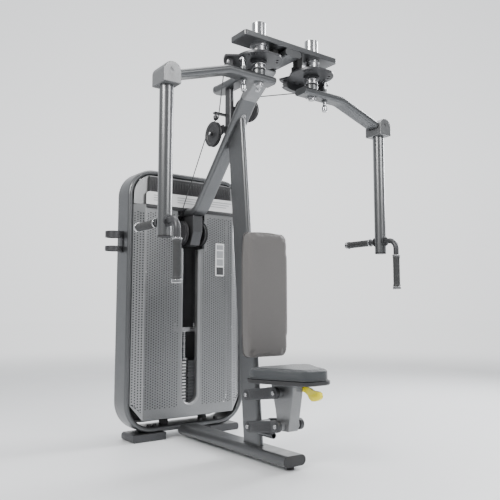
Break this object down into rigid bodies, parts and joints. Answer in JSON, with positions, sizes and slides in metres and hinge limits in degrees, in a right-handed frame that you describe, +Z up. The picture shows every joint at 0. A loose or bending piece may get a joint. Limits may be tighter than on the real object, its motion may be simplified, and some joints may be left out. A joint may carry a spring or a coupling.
{
  "type": "pec deck machine",
  "caption": "Upright gym machine with a weight stack tower, leaning column, overhead pivoting fly arms with handles, a back pad and a lever-raised seat.",
  "frame": {"origin": "on the floor under the middle of the machine's overall box", "axes": "+X across the machine to the user's left hand side, -Y the way the seated user faces, +Z up"},
  "size_m": [1.402, 1.2884, 2.0944],
  "materials": {
    "graphite_paint": "metallic satin",
    "dark_casting": "satin",
    "light_casting": "satin",
    "silver_sheet": "metallic satin",
    "brushed_tube": "satin",
    "bright_chrome": "polished",
    "bright_steel": "machined",
    "weight_iron": "satin",
    "black_plastic": "satin",
    "black_rubber": "matte",
    "grip_rubber": "matte",
    "black_cable": "smooth",
    "white_panel": "satin",
    "pad_leather": "fine grain",
    "seat_leather": "fine grain",
    "yellow_plastic": "glossy"
  },
  "bodies": {
    "frame": {"base_rail": "graphite_paint", "rail_end_cap": "black_plastic", "levelling_foot": "black_rubber", "tower_frame": "graphite_paint", "tower_feet": "dark_casting", "column": "graphite_paint", "link_pins": "bright_steel", "brace": "graphite_paint", "head_knuckle": "light_casting", "beam": "graphite_paint", "pivot_plate": "graphite_paint", "bearing_housings": "bright_steel", "pivot_caps": "bright_chrome", "pulley_cables": "black_cable", "pulley_post": "dark_casting", "pulley_crossbar": "dark_casting", "front_cover": "silver_sheet", "rear_cover": "silver_sheet", "header_panel": "black_plastic", "placards": "white_panel", "guide_rods": "bright_chrome", "stack_buffers": "black_rubber", "resting_plates": "weight_iron", "back_pad": "pad_leather", "pad_backing": "black_plastic", "cam_stops": "black_rubber", "bottle_holder": "dark_casting"},
    "cam_body_left": {"cam_left": "dark_casting", "pivot_shaft_left": "bright_steel"},
    "arm_body_left": {"arm_left": "graphite_paint", "saddle_left": "light_casting", "drop_tube_left": "brushed_tube", "tube_end_cap_left": "black_plastic", "handle_bar_left": "dark_casting", "hand_grips_left": "grip_rubber", "grip_collars_left": "bright_chrome"},
    "pin_body_left": {"pull_pin_left": "bright_chrome"},
    "upper_wheel_left": {"upper_pulley_left": "black_plastic"},
    "cam_body_right": {"cam_right": "dark_casting", "pivot_shaft_right": "bright_steel"},
    "arm_body_right": {"arm_right": "graphite_paint", "saddle_right": "light_casting", "drop_tube_right": "brushed_tube", "tube_end_cap_right": "black_plastic", "handle_bar_right": "dark_casting", "hand_grips_right": "grip_rubber", "grip_collars_right": "bright_chrome"},
    "pin_body_right": {"pull_pin_right": "bright_chrome"},
    "upper_wheel_right": {"upper_pulley_right": "black_plastic"},
    "lower_wheels": {"lower_pulleys": "black_plastic"},
    "stack": {"lifted_plates": "weight_iron", "selector_stem": "bright_steel", "stack_cables": "black_cable"},
    "stack_pin": {"selector_pin": "black_plastic"},
    "lower_arm": {"lower_links": "dark_casting"},
    "upper_arm": {"upper_links": "dark_casting"},
    "seat": {"seat_carriage": "light_casting", "seat_shell": "black_plastic", "seat_cushion": "seat_leather"},
    "lever": {"release_lever": "yellow_plastic"}
  },
  "joints": [
    {"name": "fly_left", "type": "hinge", "parent": "frame", "child": "cam_body_left", "pos_m": [-0.168, -0.407, 1.9], "axis": [0, 0, 1], "range_deg": [0, 90]},
    {"name": "fly_right", "type": "hinge", "parent": "frame", "child": "cam_body_right", "pos_m": [0.168, -0.407, 1.9], "axis": [0, 0, 1], "range_deg": [-90, 0]},
    {"name": "start_left", "type": "hinge", "parent": "cam_body_left", "child": "arm_body_left", "pos_m": [-0.168, -0.407, 1.815], "axis": [0, 0, 1], "range_deg": [-30, 0]},
    {"name": "start_right", "type": "hinge", "parent": "cam_body_right", "child": "arm_body_right", "pos_m": [0.168, -0.407, 1.815], "axis": [0, 0, 1], "range_deg": [0, 30]},
    {"name": "pull_pin_left_slide", "type": "slide", "parent": "arm_body_left", "child": "pin_body_left", "axis": [0, 0, -1], "range_m": [0, 0.012], "stiffness_N_per_m": 1200, "springref_m": -0.012},
    {"name": "pull_pin_right_slide", "type": "slide", "parent": "arm_body_right", "child": "pin_body_right", "axis": [0, 0, -1], "range_m": [0, 0.012], "stiffness_N_per_m": 1200, "springref_m": -0.012},
    {"name": "stack_lift", "type": "slide", "parent": "frame", "child": "stack", "axis": [0, 0, 1], "range_m": [0, 0.26], "deforming": ["stack_cables"]},
    {"name": "selector_pin_pull", "type": "slide", "parent": "stack", "child": "stack_pin", "axis": [0, -1, 0], "range_m": [0, 0.055]},
    {"name": "upper_wheel_left_turn", "type": "hinge", "parent": "frame", "child": "upper_wheel_left", "pos_m": [-0.066, 0.14302, 1.694], "axis": [1, 0, 0], "range_deg": [0, 222]},
    {"name": "upper_wheel_right_turn", "type": "hinge", "parent": "frame", "child": "upper_wheel_right", "pos_m": [0.10308, 0.0608, 1.84461], "axis": [0.8273, 0.4703, 0.3072], "range_deg": [0, 222]},
    {"name": "lower_wheels_turn", "type": "hinge", "parent": "frame", "child": "lower_wheels", "pos_m": [0, 0.483, 1.1773], "axis": [1, 0, 0], "range_deg": [0, 222]},
    {"name": "seat_raise", "type": "hinge", "parent": "frame", "child": "lower_arm", "pos_m": [0, -0.196, 0.165], "axis": [-1, 0, 0], "range_deg": [-15, 22]},
    {"name": "upper_link_turn", "type": "hinge", "parent": "frame", "child": "upper_arm", "pos_m": [0, -0.182, 0.315], "axis": [-1, 0, 0], "range_deg": [-15, 22]},
    {"name": "seat_level", "type": "hinge", "parent": "lower_arm", "child": "seat", "pos_m": [0, -0.41, 0.196], "axis": [-1, 0, 0], "range_deg": [-22, 15]},
    {"name": "lever_press", "type": "hinge", "parent": "seat", "child": "lever", "pos_m": [0, -0.519, 0.372], "axis": [1, 0, 0], "range_deg": [0, 14], "stiffness_Nm_per_rad": 2, "springref_deg": -22.92}
  ],
  "couplings": [
    {"joint": "fly_right", "follows": "fly_left", "ratio": -1},
    {"joint": "stack_lift", "follows": "fly_left", "m_per_rad": 0.1615},
    {"joint": "upper_wheel_left_turn", "follows": "fly_left", "ratio": 2.447},
    {"joint": "upper_wheel_right_turn", "follows": "fly_left", "ratio": 2.447},
    {"joint": "lower_wheels_turn", "follows": "fly_left", "ratio": 2.447},
    {"joint": "upper_link_turn", "follows": "seat_raise", "ratio": 1},
    {"joint": "seat_level", "follows": "seat_raise", "ratio": -1}
  ]
}
